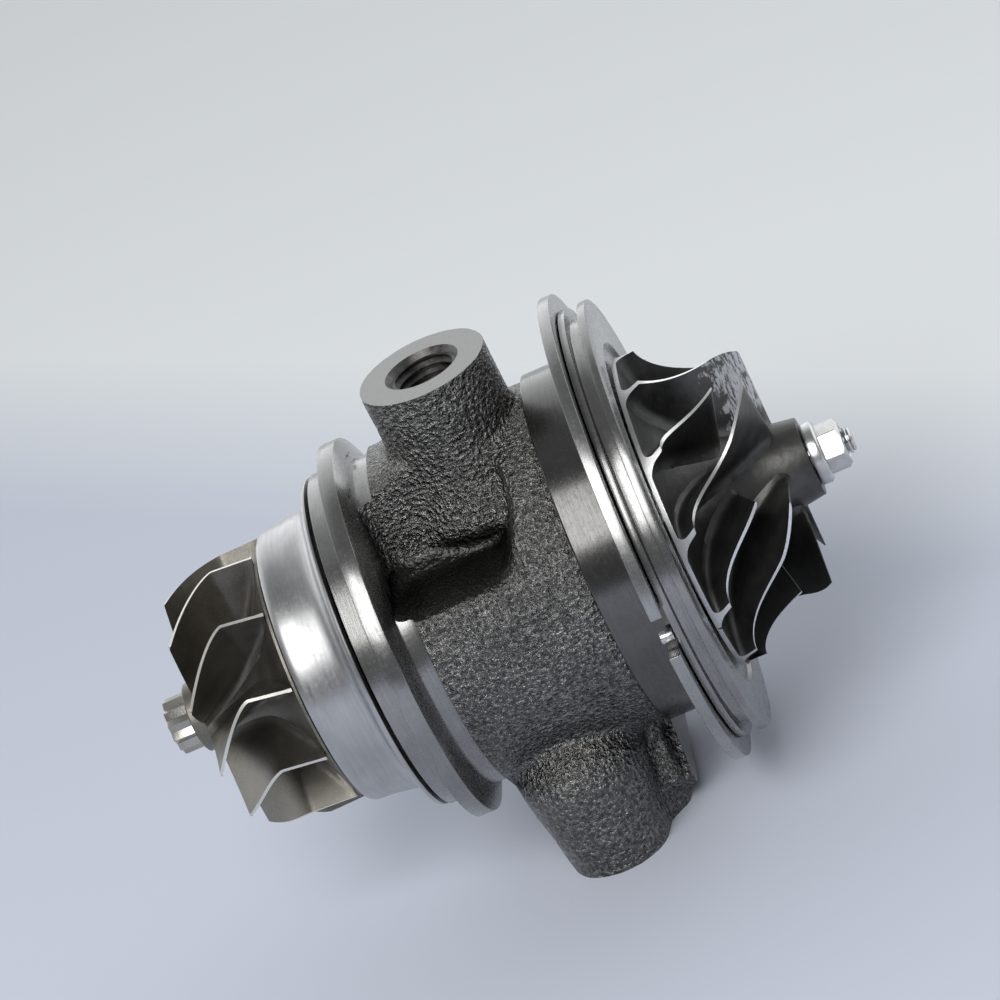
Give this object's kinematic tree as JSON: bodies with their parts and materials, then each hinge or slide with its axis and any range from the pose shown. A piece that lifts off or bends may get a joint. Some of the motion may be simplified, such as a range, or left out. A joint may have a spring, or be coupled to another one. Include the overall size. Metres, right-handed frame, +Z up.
{
  "type": "turbocharger cartridge",
  "caption": "Oil-cooled turbocharger cartridge: cast bearing housing with oil inlet boss and drain, turbine wheel, heat shield, compressor wheel and shaft nut.",
  "frame": {"origin": "middle of the bounding box on the plane of the oil drain flange's face, which the part stands on", "axes": "+X along the shaft toward the compressor wheel's inlet, -X toward the turbine wheel, +Z up out of the oil inlet boss, +Y across the housing"},
  "size_m": [0.126, 0.0842, 0.0876],
  "materials": {
    "cast_iron": "as cast and bead blasted, with turned and milled faces",
    "ground_steel": "fine ground",
    "spring_steel": "oil blackened",
    "bush_bronze": "fine turned bearing bronze",
    "pressed_sheet": "pressed stainless sheet, satin",
    "insert_aluminium": "turned",
    "seal_rubber": "moulded, matt",
    "turbine_alloy": "investment cast heat-resisting alloy, matt, blade tips ground bright",
    "cast_aluminium": "cast and darkened, blade tips turned bright",
    "plated_steel": "zinc plated, bright"
  },
  "bodies": {
    "housing": {"bearing_housing": "cast_iron", "locating_pin": "ground_steel", "seal_insert": "insert_aluminium", "insert_retaining_ring": "spring_steel", "insert_o_ring": "seal_rubber", "oil_deflector": "pressed_sheet", "thrust_bearing": "bush_bronze", "turbine_seal_ring": "spring_steel", "compressor_seal_ring": "spring_steel", "circlip_turbine_outer": "spring_steel", "circlip_turbine_inner": "spring_steel", "circlip_compressor_inner": "spring_steel", "heat_shield": "pressed_sheet"},
    "snap_ring": {"snap_ring": "spring_steel"},
    "turbine_bush": {"turbine_journal_bush": "bush_bronze"},
    "compressor_bush": {"compressor_journal_bush": "bush_bronze"},
    "rotor": {"turbine_wheel": "turbine_alloy", "rotor_shaft": "ground_steel", "compressor_wheel": "cast_aluminium", "shaft_nut": "plated_steel", "thrust_collar": "ground_steel", "flinger_sleeve": "ground_steel"}
  },
  "joints": [
    {"name": "rotor_spin", "type": "hinge", "parent": "housing", "child": "rotor", "pos_m": [0, 0, 0.0446], "axis": [1, 0, 0], "continuous": true},
    {"name": "turbine_bush_spin", "type": "hinge", "parent": "housing", "child": "turbine_bush", "pos_m": [-0.01305, 0, 0.0446], "axis": [1, 0, 0], "continuous": true},
    {"name": "compressor_bush_spin", "type": "hinge", "parent": "housing", "child": "compressor_bush", "pos_m": [0.00525, 0, 0.0446], "axis": [1, 0, 0], "continuous": true},
    {"name": "snap_ring_slide", "type": "slide", "parent": "housing", "child": "snap_ring", "axis": [-1, 0, 0], "range_m": [0, 0.008]}
  ]
}
